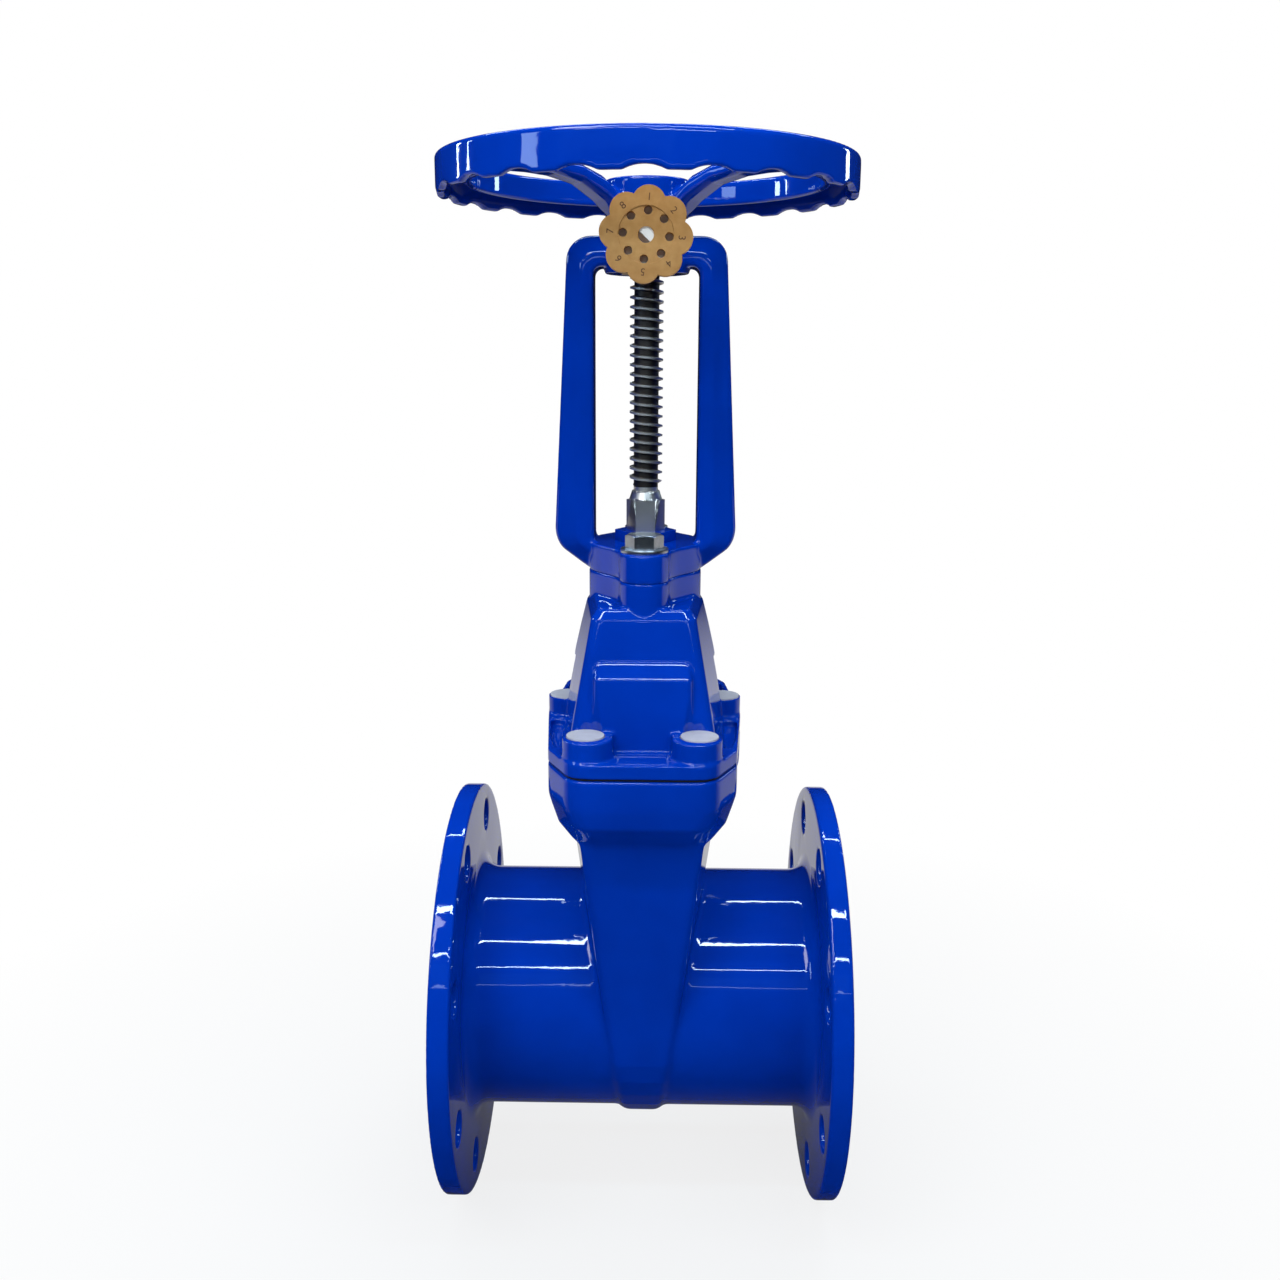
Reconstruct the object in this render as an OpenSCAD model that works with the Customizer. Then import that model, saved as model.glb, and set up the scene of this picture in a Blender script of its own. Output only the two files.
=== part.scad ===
// Rising stem gate valve with a wedge, a two-legged yoke and a handwheel.
// Millimetres. The origin is the centre of the inlet flange face, on the bore's axis.
// +X runs along the bore into the valve, and the stem stands along +Z.

/* [Pipe and flanges] */
// Length from flange face to flange face
face_to_face = 267; // [250:1:330]
// Diameter of the bore
bore_d = 150; // [130:1:152]
// Outside diameter of the pipe between the flanges
pipe_d = 165; // [160:1:180]
// Outside diameter of each flange
flange_d = 285; // [275:1:320]
// Thickness of each flange behind its raised face
flange_t = 14; // [12:0.5:24]
// Height of the raised sealing face
raised_h = 2; // [1:0.5:4]
// Distance of the flange bolts from the flange's rim
flange_bolt_edge = 22.5; // [20:0.5:26]
// Width left free round the raised face, inside the circle of the bolts
raised_margin = 14; // [13:0.5:20]
// Diameter of each flange bolt hole
bolt_hole_d = 23; // [14:0.5:24]
// Number of flange bolts
bolt_count = 8; // [4:4:12]
// Radius of the neck where the pipe meets a flange
neck_r = 12; // [4:1:20]

/* [Wedge chamber] */
// How far the wedge reaches beyond the bore
wedge_rim = 4; // [3:0.5:6]
// Gap between the shut wedge and its seats
seat_gap = 0.3; // [0.2:0.05:0.6]
// Height of each seat ring above the chamber's side wall
seat_h = 3; // [2:0.5:4]
// Half thickness of the wedge at the bore's axis
wedge_half_t = 15.2; // [12:0.1:17]
// How much the half thickness grows for each millimetre of height
wedge_taper = 0.116; // [0.09:0.002:0.13]
// Running clearance beside the wedge when it is lifted
lift_gap = 5; // [4:0.5:6]
// Thickness of the cast wall round the chamber
chamber_wall = 7; // [6:0.5:9]
// How far the chamber's side walls bulge beyond its front wall, at the top
chamber_bulge = 13; // [8:1:16]

/* [Body collar and bonnet flange] */
// Height of the bonnet joint above the bore's axis
joint_z = 194; // [190:1:205]
// Height of the collar at the top of the body
collar_h = 34; // [28:1:38]
// Width of the collar along the pipe, at its middle
collar_w = 132; // [128:1:140]
// Width of the collar along the pipe, at its haunches
haunch_w = 119; // [115:1:125]
// Distance of the haunches from the stem
haunch_y = 78; // [72:1:84]
// Width of the collar along the pipe, at its ends
collar_end_w = 99; // [97:1:104]
// Length of the collar across the pipe
collar_l = 231; // [229:1:240]
// Corner radius of the collar
collar_r = 16.5; // [14:0.5:18]
// Depth of the pockets in the collar's sides
pocket_depth = 9; // [4:0.5:9]
// Thickness of the gasket
gasket_t = 1.5; // [1:0.25:3]
// How far the gasket stays inside the joint
gasket_inset = 1.6; // [1:0.2:3]
// Thickness of the bonnet flange
bonnet_flange_t = 9; // [8:0.5:14]
// Distance of the end bolts from the collar's long sides
end_bolt_side = 14.5; // [14:0.25:15]
// Distance of the end bolts from the collar's ends
end_bolt_edge = 20.5; // [19:0.25:21]
// Distance of the side bolts from the collar's widest point
side_bolt_edge = 13; // [12.5:0.25:14]
// Radius of each end bolt's boss at its top
boss_r = 15.4; // [15.2:0.1:15.6]
// How much wider each end boss is at its foot
boss_draft = 0.8; // [0.2:0.1:1]
// Height of each bolt boss above the bonnet flange
boss_h = 12.5; // [10:0.5:16]
// Depth of the channels in the bonnet flange
channel_depth = 5; // [2:0.5:6]
// Nominal diameter of the bonnet bolts
bonnet_bolt_d = 12; // [10:1:14]
// Diameter of the sealing plug over each bolt
plug_d = 23.2; // [20:0.2:24]
// Thickness of the sealing plug
plug_t = 3; // [2:0.5:4]

/* [Bonnet] */
// Distance from the bonnet's top face down to its shoulder
shoulder_drop = 16; // [13:1:22]
// Height of the bonnet's top face above the bore's axis
bonnet_top_z = 306; // [304:1:312]
// Width of the bonnet at its shoulder, at its middle
shoulder_w = 78; // [76:1:84]
// Width of the bonnet at its shoulder, at its ends
shoulder_end_w = 66; // [60:1:72]
// Length of the bonnet at its shoulder, across the pipe
shoulder_l = 141; // [138:1:148]
// Width of the bonnet at its foot, at its middle
foot_w = 108; // [102:1:110]
// Width of the bonnet at its foot, at its ends
foot_end_w = 94; // [88:1:96]
// Length of the bonnet at its foot, across the pipe
foot_l = 174; // [168:1:178]
// Corner radius of the bonnet casting
bonnet_r = 7; // [4:0.5:9]
// Width of the raised panel on each end of the bonnet, at its foot
panel_w = 63; // [56:1:70]
// How far the raised panel stands out
panel_h = 6.3; // [4:0.1:8]
// Distance from the bonnet's shoulder down to the raised panel's top edge
panel_drop = 31; // [26:1:40]
// Thickness of the bonnet's cast wall
bonnet_wall = 6; // [5:0.5:7]

/* [Yoke] */
// Thickness of the yoke's base plate
base_t = 18; // [14:1:22]
// Width of the yoke's base plate
base_w = 74; // [72:1:84]
// Depth of the yoke's base plate beside the bolts
base_l = 28; // [24:1:36]
// Distance of each yoke bolt from the stem
yoke_bolt_y = 52; // [51:0.5:53]
// Radius of the base plate's round end beyond each yoke bolt
yoke_boss_r = 15.3; // [15.1:0.1:17]
// Nominal diameter of the yoke bolts
yoke_bolt_d = 14; // [10:1:16]
// Distance across the flats of a yoke bolt's head
yoke_bolt_af = 21; // [17:1:24]
// Height of a yoke bolt's head
yoke_bolt_head_h = 8.8; // [6:0.2:12]
// Diameter of the washer under a yoke bolt
washer_d = 30; // [24:1:32]
// Thickness of the washer under a yoke bolt
washer_t = 2.5; // [1.5:0.5:4]
// Width across the legs at their widest
yoke_w = 119; // [112:1:130]
// Width across the legs at the top
yoke_top_w = 102; // [96:1:112]
// Width of the window between the legs
window_w = 67; // [60:1:70]
// Height of the window's top above the bonnet's top face
window_rise = 192; // [184:1:214]
// Corner radius of the window
window_r = 5; // [2:0.5:10]
// Thickness of the bridge above the window
bridge_t = 19; // [16:1:26]
// Depth of the legs
leg_d = 32; // [24:1:38]
// Radius of the round hub in the middle of the bridge
hub_r = 27; // [26:0.5:32]

/* [Stem and glands] */
// Diameter of the smooth stem
stem_d = 16; // [14:0.5:18]
// Outside diameter of the stem's thread
thread_d = 21.5; // [20:0.5:24]
// Length of smooth stem between the stem guide and the thread when shut
thread_gap = 3; // [2:1:7]
// Distance from the top of the handwheel's rim down to the stem's top when shut
stem_drop = 15.5; // [13.5:0.5:17.5]
// Radial running clearance of the stem in its guide and of the stem nut in the yoke
run_gap = 0.08; // [0.04:0.01:0.1]
// Distance across the flats of the blue gland nut
gland_af = 35.5; // [33:0.5:40]
// Height of the gland nut's head
gland_h = 7; // [5:0.5:10]
// Distance across the flats of the stem guide above the gland nut
guide_af = 22; // [20:0.5:26]
// Height of the stem guide's hexagon
guide_h = 20; // [16:0.5:21]
// Height of the cone on the stem guide
guide_cone_h = 6; // [4:0.5:7]
// Diameter of the stuffing box in the bonnet
stuffing_d = 28; // [26:0.5:30]

/* [Stem nut and handwheel] */
// Outside diameter of the stem nut's journal
nut_d = 32; // [30:0.5:34]
// Outside diameter of the stem nut's collar
collar_nut_d = 43; // [40:1:46]
// Thickness of the stem nut's collar
collar_nut_t = 7; // [5:0.5:9]
// Thickness of each thrust washer
thrust_t = 1.5; // [1:0.25:2]
// Thickness of the cover ring that holds the stem nut down
cover_t = 5; // [4:0.5:8]
// Outside diameter of the handwheel
wheel_d = 263; // [220:1:300]
// Height of the handwheel's rim
rim_h = 23; // [18:0.5:28]
// Height of the rim's top above the window's top
wheel_rise = 64.5; // [62:0.5:77]
// Width of the rim
rim_w = 22; // [16:1:28]
// Thickness of the rim's cast wall
rim_wall = 5; // [3:0.5:7]
// Number of finger grips round the rim
grip_count = 22; // [12:1:30]
// Depth of each finger grip
grip_depth = 3; // [1:0.5:4]
// Number of spokes
spoke_count = 3; // [3:1:5]
// Width of a spoke
spoke_w = 23; // [14:1:26]
// Depth of a spoke
spoke_t = 14; // [10:1:18]
// Radius of the handwheel's hub
wheel_hub_r = 26.5; // [25.5:0.5:32]
// Height of the handwheel's hub below its nut
wheel_hub_h = 17; // [14:1:20]
// Distance across the flats of the handwheel nut
wheel_nut_af = 38; // [37:0.5:40]
// Height of the handwheel nut, which is sunk into the hub
wheel_nut_h = 5.5; // [5:0.5:8]

/* [Lock knob] */
// Diameter of the lock knob over its lobes
knob_d = 55.6; // [50:0.2:57]
// Number of lobes on the lock knob
knob_lobes = 8; // [6:1:10]
// Thickness of the lock knob
knob_t = 8; // [6:0.5:9]
// Height of the lock knob's axis above the window's top
knob_rise = 15; // [14:0.5:16]
// Distance of the lock knob's back from the stem
knob_y = 52; // [51:0.5:56]
// Radius of the circle of small holes in the lock knob
knob_hole_circle_r = 13.8; // [12:0.2:16]
// Diameter of the small holes in the lock knob
knob_hole_d = 5; // [3:0.5:6]
// Depth of the round step in the lock knob's face
knob_step = 0.6; // [0.2:0.1:1]
// How far the lock knob is turned when the handwheel is locked
knob_turn = 5; // [0:1:20]
// Diameter of the lock spindle
spindle_d = 9.5; // [8:0.5:12]
// Diameter of the spindle's shoulder behind the lock knob
spindle_shoulder_d = 36; // [34:1:40]

/* [Hidden] */
stem_x = face_to_face / 2;
body_color = "royalblue";
steel_color = "silver";
brass_color = "darkgoldenrod";
rubber_color = "dimgray";
bolt_circle_d = flange_d - 2 * flange_bolt_edge;
raised_d = bolt_circle_d - 2 * raised_margin;
wedge_r = bore_d / 2 + wedge_rim;
chamber_r = wedge_r + seat_gap + chamber_wall;
chamber_half_l = wedge_r + lift_gap;
collar_bottom_z = joint_z - collar_h;
bonnet_z = joint_z + gasket_t;
bonnet_flange_z = bonnet_z + bonnet_flange_t;
boss_top_z = bonnet_flange_z + boss_h;
end_bolt_x = collar_end_w / 2 - end_bolt_side;
end_bolt_y = collar_l / 2 - end_bolt_edge;
side_bolt_x = collar_w / 2 - side_bolt_edge;
shoulder_z = bonnet_top_z - shoulder_drop;
panel_z = shoulder_z - panel_drop;
base_z = bonnet_top_z + base_t;
window_top_z = bonnet_top_z + window_rise;
bridge_top_z = window_top_z + bridge_t;
wheel_top_z = window_top_z + wheel_rise;
stem_top_z = wheel_top_z - stem_drop;
gland_top_z = base_z + gland_h;
guide_top_z = gland_top_z + guide_h;
thread_z = guide_top_z + guide_cone_h + thread_gap;
knob_z = window_top_z + knob_rise;
thin = 0.1;
tiny = 0.01;
bolt_gap = 0.5;
cavity_top_z = shoulder_z - bonnet_wall - 1;
cavity_shoulder_w = shoulder_end_w - 2 * bonnet_wall - 2;
cavity_shoulder_l = shoulder_l - 4 * bonnet_wall;
nut_seat_z = window_top_z + 10;
nut_collar_z = nut_seat_z + thrust_t;
cover_z = nut_collar_z + collar_nut_t + thrust_t;
hub_top_z = cover_z + cover_t;
wheel_hub_top_z = stem_top_z - 2;
wheel_hub_z = wheel_hub_top_z - wheel_hub_h;
wheel_r = wheel_d / 2;
plug_gap = 0.15;
nut_recess_gap = 0.6;
bolt_head_d = 1.55 * bonnet_bolt_d;
bolt_head_h = 8;
bolt_head_z = boss_top_z - plug_t - bolt_head_h - 0.3;
bolt_depth = 22;
yoke_bolt_depth = 20;
nut_block = [30, 34, 18];
nut_block_z = wedge_r - 10;

// ---- Shared shapes ----

// Moves its children to the stem's axis
module on_stem() {
  translate([stem_x, 0, 0])
    children();
}

// Half thickness of the wedge at height z
function wedge_t(z) = wedge_half_t + wedge_taper * z;

// Half width of the chamber's front wall at height z
function front_half_w(z) = wedge_t(z) + seat_gap + chamber_wall;

// Direction away from the line between circle a and circle b, both given as [x, y, r]
function outward(a, b) =
  let (d = [b[0] - a[0], b[1] - a[1]])
  let (length = norm(d))
  let (u = d / length)
  let (c = (a[2] - b[2]) / length)
  let (s = sqrt(1 - c * c))
  [c * u[0] + s * u[1], c * u[1] - s * u[0]];

// Outline that wraps a ring of circles, given anticlockwise as [x, y, r]
module wrap_outline(circles) {
  count = len(circles);
  polygon([
    for (i = [0 : count - 1])
    for (end = [0, 1])
    let (a = circles[i])
    let (b = circles[(i + 1) % count])
    let (n = outward(a, b))
    let (c = end == 0 ? a : b)
    [c[0] + c[2] * n[0], c[1] + c[2] * n[1]]
  ]);
  for (c = circles)
    translate([c[0], c[1]])
      circle(r = c[2], $fn = 48);
}

// Circles at the corners of a long six-sided outline: widths at the middle and the ends
function six_corners(mid_w, end_w, l, r) = [
  [end_w / 2 - r, -l / 2 + r, r],
  [mid_w / 2 - r, 0, r],
  [end_w / 2 - r, l / 2 - r, r],
  [-end_w / 2 + r, l / 2 - r, r],
  [-mid_w / 2 + r, 0, r],
  [-end_w / 2 + r, -l / 2 + r, r]
];

// One thin level of a casting with that outline
module level(z, mid_w, end_w, l, r) {
  translate([0, 0, z])
    linear_extrude(thin)
      for (c = six_corners(mid_w, end_w, l, r))
        translate([c[0], c[1]])
          circle(r = c[2], $fn = 24);
}

// Places its children at each bonnet bolt
function bonnet_bolt_places() = [
  [-end_bolt_x, -end_bolt_y],
  [end_bolt_x, -end_bolt_y],
  [side_bolt_x, 0],
  [end_bolt_x, end_bolt_y],
  [-end_bolt_x, end_bolt_y],
  [-side_bolt_x, 0]
];

// A skin over rings of equal length, from the first ring to the last
module skin(rings) {
  n = len(rings[0]);
  m = len(rings);
  polyhedron(
    points = [for (ring = rings) for (p = ring) p],
    faces = concat(
      [[for (i = [0 : n - 1]) i]],
      [for (k = [0 : m - 2]) for (i = [0 : n - 1])
        [k * n + i, (k + 1) * n + i, (k + 1) * n + (i + 1) % n, k * n + (i + 1) % n]],
      [[for (i = [n - 1 : -1 : 0]) (m - 1) * n + i]]
    )
  );
}

// Hexagonal bar with its flats facing the pipe's sides
module hex_bar(af, h) {
  cylinder(r = af / sqrt(3), h = h, $fn = 6);
}

// Takes the corners off the top of a hexagon of that size
module hex_chamfer(af, h, drop) {
  cylinder(r1 = af / 2 + (h + drop) * 1.7, r2 = af / 2 - 0.4, h = h, $fn = 64);
}

// ---- Body ----

// Side view of the chamber's hollow, along X
module chamber_side(top_z, r, half_l) {
  rotate([90, 0, 90])
    linear_extrude(4 * wedge_r, center = true) {
      circle(r = r, $fn = 120);
      polygon([
        [r, 0], [half_l, 40], [half_l, top_z],
        [-half_l, top_z], [-half_l, 40], [-r, 0]
      ]);
    }
}

// Wedge-shaped prism with a gap beside the wedge, along Y
module wedge_prism(low_z, top_z, gap) {
  rotate([90, 0, 0])
    linear_extrude(4 * wedge_r, center = true)
      polygon([
        [wedge_t(low_z) + gap, low_z],
        [wedge_t(top_z) + gap, top_z],
        [-wedge_t(top_z) - gap, top_z],
        [-wedge_t(low_z) - gap, low_z]
      ]);
}

module chamber_hollow() {
  difference() {
    intersection() {
      chamber_side(joint_z + 1, wedge_r + seat_gap, chamber_half_l);
      wedge_prism(-wedge_r - 2, joint_z + 2, seat_gap + seat_h);
    }
    rotate([0, 90, 0])
      cylinder(r = wedge_r + 2, h = 4 * wedge_r, center = true, $fn = 120);
  }
  intersection() {
    chamber_side(joint_z + 1, wedge_r + seat_gap, chamber_half_l);
    wedge_prism(-wedge_r - 2, joint_z + 2, seat_gap);
  }
}

// One level of the chamber's outside: an upright six-sided section
module chamber_level(z, l) {
  bulge = chamber_bulge * (z + chamber_r) / (collar_bottom_z + chamber_r);
  end_w = 2 * front_half_w(z);
  level(z, end_w + 2 * bulge, end_w, l, 6);
}

module chamber_outside() {
  hull() {
    for (a = [-90 : 10 : 0])
      chamber_level(chamber_r * sin(a), max(14, 2 * chamber_r * cos(a)));
    chamber_level(collar_bottom_z - 8, 2 * (chamber_half_l + 12));
    chamber_level(collar_bottom_z + 4, 2 * (chamber_half_l + 12));
  }
}

// Circles round the collar's outline, with a margin taken off its sides and its ends
function collar_circles(side, end, inset) =
  let (r = collar_r - inset)
  let (m = collar_w / 2 - collar_r - side)
  let (h = haunch_w / 2 - collar_r - side)
  let (e = collar_end_w / 2 - collar_r - side)
  let (l = collar_l / 2 - collar_r - end)
  [
    [e, -l, r], [h, -haunch_y, r], [m, 0, r], [h, haunch_y, r], [e, l, r],
    [-e, l, r], [-h, haunch_y, r], [-m, 0, r], [-h, -haunch_y, r], [-e, -l, r]
  ];

module collar_outline(inset) {
  wrap_outline(collar_circles(0, 0, inset));
}

// One level of the collar's tapered foot
module collar_level(z, side, end) {
  translate([0, 0, z])
    linear_extrude(thin)
      for (c = collar_circles(side, end, 0))
        translate([c[0], c[1]])
          circle(r = c[2], $fn = 24);
}

// Repeats its children on both sides and at both ends
module four_ways() {
  for (sx = [0, 1])
    for (sy = [0, 1])
      mirror([sx, 0, 0])
        mirror([0, sy, 0])
          children();
}

module collar_block() {
  lip = 5;
  taper_h = 14;
  pocket_r = 9;
  pocket_x = haunch_w / 2 + 3.5 - pocket_depth + pocket_r;
  translate([0, 0, joint_z - lip])
    linear_extrude(lip)
      collar_outline(0);
  difference() {
    union() {
      translate([0, 0, collar_bottom_z + taper_h])
        linear_extrude(collar_h - taper_h - lip + tiny)
          collar_outline(0);
      hull() {
        collar_level(collar_bottom_z + taper_h, 0, 0);
        collar_level(collar_bottom_z + 2, 4, 1.5);
        collar_level(collar_bottom_z - 4, 6, 9);
        collar_level(collar_bottom_z - 16, 15.5, 24);
      }
    }
    four_ways()
      translate([0, 0, collar_bottom_z - 20])
        linear_extrude(collar_h + 20 - lip)
          wrap_outline([
            [pocket_x, boss_r + 12, pocket_r],
            [pocket_x, haunch_y - 14, pocket_r]
          ]);
  }
}

// Solid pipe with a flange at each end, turned about the bore's axis
module flanged_pipe() {
  rotate([90, 0, 90])
    rotate_extrude($fn = 180)
      difference() {
        union() {
          square([pipe_d / 2, face_to_face]);
          for (z = [0, face_to_face - raised_h])
            translate([0, z])
              square([raised_d / 2, raised_h]);
          for (z = [raised_h, face_to_face - raised_h - flange_t])
            translate([0, z])
              square([flange_d / 2, flange_t]);
          translate([pipe_d / 2 - 0.1, raised_h + flange_t - 0.1])
            square([neck_r + 0.1, neck_r + 0.1]);
          translate([pipe_d / 2 - 0.1, face_to_face - raised_h - flange_t - neck_r])
            square([neck_r + 0.1, neck_r + 0.1]);
        }
        for (z = [raised_h + flange_t + neck_r, face_to_face - raised_h - flange_t - neck_r])
          translate([pipe_d / 2 + neck_r, z])
            circle(r = neck_r, $fn = 64);
      }
}

module flange_bolt_holes() {
  for (i = [0 : bolt_count - 1])
    rotate([360 * (i + 0.5) / bolt_count, 0, 0])
      translate([-1, 0, bolt_circle_d / 2])
        rotate([0, 90, 0])
          cylinder(d = bolt_hole_d, h = face_to_face + 2, $fn = 48);
}

module body() {
  color(body_color)
    difference() {
      union() {
        difference() {
          flanged_pipe();
          flange_bolt_holes();
        }
        on_stem() {
          chamber_outside();
          collar_block();
        }
      }
      translate([-1, 0, 0])
        rotate([0, 90, 0])
          cylinder(d = bore_d, h = face_to_face + 2, $fn = 180);
      on_stem()
        chamber_hollow();
      on_stem()
        for (p = bonnet_bolt_places())
          translate([p[0], p[1], joint_z - bolt_depth - 1])
            cylinder(d = bonnet_bolt_d + 2 * tiny, h = bolt_depth + 2, $fn = 32);
    }
}

// ---- Bonnet ----

module bonnet_gasket() {
  color(rubber_color)
    on_stem()
      translate([0, 0, joint_z])
        linear_extrude(gasket_t)
          difference() {
            collar_outline(gasket_inset);
            square([2 * wedge_t(joint_z) + 12, 2 * chamber_half_l], center = true);
            for (p = bonnet_bolt_places())
              translate(p)
                circle(d = bonnet_bolt_d + 2 * bolt_gap, $fn = 32);
          }
}

// Outline of the bonnet's top and of the yoke's base plate: wide in the middle,
// and drawn in along a smooth curve to a round end beyond each yoke bolt
module base_outline() {
  steps = 12;
  low = base_l / 2 - 6;
  high = yoke_bolt_y + 2;
  half = [
    for (i = [0 : steps])
    [
      yoke_boss_r + (base_w / 2 - yoke_boss_r) * (1 + cos(180 * i / steps)) / 2,
      low + (high - low) * i / steps
    ]
  ];
  polygon(concat(
    [for (i = [steps : -1 : 0]) [half[i][0], -half[i][1]]],
    [for (i = [0 : steps]) half[i]],
    [for (i = [steps : -1 : 0]) [-half[i][0], half[i][1]]],
    [for (i = [0 : steps]) [-half[i][0], -half[i][1]]]
  ));
  for (sy = [-1, 1])
    translate([0, sy * high])
      circle(r = yoke_boss_r, $fn = 96);
}

// Length of the bonnet's dome across the pipe, at height z
function dome_l(z) =
  foot_l + (shoulder_l - foot_l) * (z - bonnet_flange_z) / (shoulder_z - bonnet_flange_z - 6);

// The dome at part t of the way from its foot to its shoulder
module dome_level(t) {
  z = bonnet_flange_z - 1 + t * (shoulder_z - bonnet_flange_z - 5);
  swell = pow(t, 1.4);
  level(z, foot_w + (shoulder_w - foot_w) * swell,
    foot_end_w + (shoulder_end_w - foot_end_w) * t, dome_l(z), bonnet_r);
}

// Bolt boss at one end, drafted and nearly flush with the flange, with a web to the raised panel
module end_boss() {
  boss = [end_bolt_x - 1.6, -end_bolt_y - 3];
  translate([boss[0], boss[1], bonnet_z + 1])
    cylinder(r1 = boss_r + boss_draft, r2 = boss_r, h = boss_top_z - bonnet_z - 1, $fn = 96);
  translate([0, 0, bonnet_flange_z - 1])
    linear_extrude(boss_top_z - bonnet_flange_z + 0.8)
      wrap_outline([
        [panel_w / 2 - 12.5, -foot_l / 2 - 2, 1.5],
        [boss[0], boss[1], boss_r - 1],
        [boss[0], -foot_l / 2 + 8, 3]
      ]);
}

module bonnet_shell() {
  top_bevel = 8;
  difference() {
    translate([0, 0, bonnet_z])
      linear_extrude(bonnet_flange_t)
        collar_outline(0);
    four_ways()
      translate([0, 0, bonnet_flange_z - channel_depth])
        linear_extrude(channel_depth + 1)
          wrap_outline([
            [side_bolt_x + 4.6, boss_r + 7.5, 4.6],
            [side_bolt_x + 3, haunch_y - 26, 4.2],
            [side_bolt_x + 0.5, haunch_y - 2, 2.6]
          ]);
  }
  hull() {
    for (t = [0, 0.2, 0.4, 0.6, 0.8, 1])
      dome_level(t);
    level(shoulder_z - thin, shoulder_w - top_bevel, shoulder_end_w - top_bevel,
      shoulder_l - top_bevel, bonnet_r - 2);
  }
  hull() {
    level(bonnet_flange_z - 1, panel_w, panel_w, foot_l + panel_h, 4);
    level(panel_z - 10, panel_w - 2, panel_w - 2, dome_l(panel_z - 10) + 2 * panel_h, 4);
    level(panel_z, panel_w - 4, panel_w - 4, dome_l(panel_z) - 1, 4);
  }
  four_ways()
    end_boss();
  for (side = [-1, 1])
    translate([side * side_bolt_x, 0, bonnet_z])
      cylinder(r = side_bolt_edge - 0.4, h = boss_top_z - bonnet_z, $fn = 96);
  translate([0, 0, shoulder_z - 8])
    linear_extrude(bonnet_top_z - shoulder_z + 8)
      base_outline();
}

module bonnet_hollow() {
  intersection() {
    rotate([90, 0, 90])
      linear_extrude(2 * foot_w, center = true)
        polygon([
          [foot_l / 2 - bonnet_wall, bonnet_z - 1],
          [cavity_shoulder_l / 2, cavity_top_z],
          [-cavity_shoulder_l / 2, cavity_top_z],
          [-foot_l / 2 + bonnet_wall, bonnet_z - 1]
        ]);
    rotate([90, 0, 0])
      linear_extrude(2 * foot_l, center = true)
        polygon([
          [foot_end_w / 2 - bonnet_wall - 1, bonnet_z - 1],
          [cavity_shoulder_w / 2, cavity_top_z],
          [-cavity_shoulder_w / 2, cavity_top_z],
          [-foot_end_w / 2 + bonnet_wall + 1, bonnet_z - 1]
        ]);
  }
}

module bonnet() {
  color(body_color)
    on_stem()
      difference() {
        bonnet_shell();
        bonnet_hollow();
        for (p = bonnet_bolt_places())
          translate([p[0], p[1], 0]) {
            translate([0, 0, bonnet_z - 1])
              cylinder(d = bonnet_bolt_d + 2 * bolt_gap, h = 40, $fn = 32);
            translate([0, 0, bolt_head_z])
              cylinder(d = plug_d + 2 * plug_gap, h = 40, $fn = 48);
          }
        for (sy = [-1, 1])
          translate([0, sy * yoke_bolt_y, bonnet_top_z - yoke_bolt_depth])
            cylinder(d = yoke_bolt_d + 2 * tiny, h = yoke_bolt_depth + 1, $fn = 32);
        translate([0, 0, cavity_top_z - 1])
          cylinder(d = stem_d + 2, h = 60, $fn = 48);
        translate([0, 0, cavity_top_z + 6])
          cylinder(d = stuffing_d, h = 60, $fn = 64);
      }
}

// Socket-headed bolt of the bonnet joint
module bonnet_bolt(i) {
  p = bonnet_bolt_places()[i];
  color(steel_color)
    on_stem()
      translate([p[0], p[1], 0])
        difference() {
          union() {
            translate([0, 0, joint_z - bolt_depth + 1])
              cylinder(d = bonnet_bolt_d, h = bolt_head_z - joint_z + bolt_depth, $fn = 32);
            translate([0, 0, bolt_head_z])
              cylinder(d = bolt_head_d, h = bolt_head_h, $fn = 48);
          }
          translate([0, 0, bolt_head_z + bolt_head_h - 5])
            hex_bar(10, 6);
        }
}

// Soft plug that seals a bolt's head
module sealing_plug(i) {
  p = bonnet_bolt_places()[i];
  color("lightgray")
    on_stem()
      translate([p[0], p[1], boss_top_z - plug_t])
        cylinder(d = plug_d, h = plug_t + 0.3, $fn = 64);
}

// ---- Yoke ----

// Stations along one leg and its half of the bridge: [outer x, inner x, z of outer, z of inner].
// The outside turns through a quarter of an ellipse below and above, the window through arcs.
function leg_stations() =
  let (w = window_w / 2)
  let (r = window_r)
  let (foot = [yoke_w / 2 - 12, base_z + 9, 12, 17])
  let (head = [yoke_top_w / 2 - 16, window_top_z + 4, 16, bridge_t - 4])
  let (steps = 6)
  concat(
    [[base_w / 2, 0, bonnet_top_z, bonnet_top_z]],
    [
      for (i = [0 : steps])
      let (a = -62 * (1 - i / steps))
      let (b = -90 * (1 - i / steps))
      [foot[0] + foot[2] * cos(a), w - r + r * cos(b),
        foot[1] + foot[3] * sin(a), base_z - 1 + r + r * sin(b)]
    ],
    [
      for (i = [0 : steps])
      let (a = 90 * i / steps)
      [head[0] + head[2] * cos(a), w - r + r * cos(a),
        head[1] + head[3] * sin(a), window_top_z - r + r * sin(a)]
    ],
    [[0, 0, bridge_top_z, window_top_z]]
  );

// Cross-section of a leg between an outer and an inner point, with a bevelled outer edge
function leg_ring(s) =
  let (o = [s[0], s[2]])
  let (i = [s[1], s[3]])
  let (h = leg_d / 2)
  [
    for (q = [[0, h - 2], [0.06, h], [0.42, h], [0.94, h - 6.5], [1, h - 9],
      [1, 9 - h], [0.94, 6.5 - h], [0.42, -h], [0.06, -h], [0, 2 - h]])
    let (p = i + (o - i) * q[0])
    [p[0], -q[1], p[1]]
  ];

module yoke_base() {
  translate([0, 0, bonnet_top_z])
    linear_extrude(base_t)
      base_outline();
}

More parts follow.
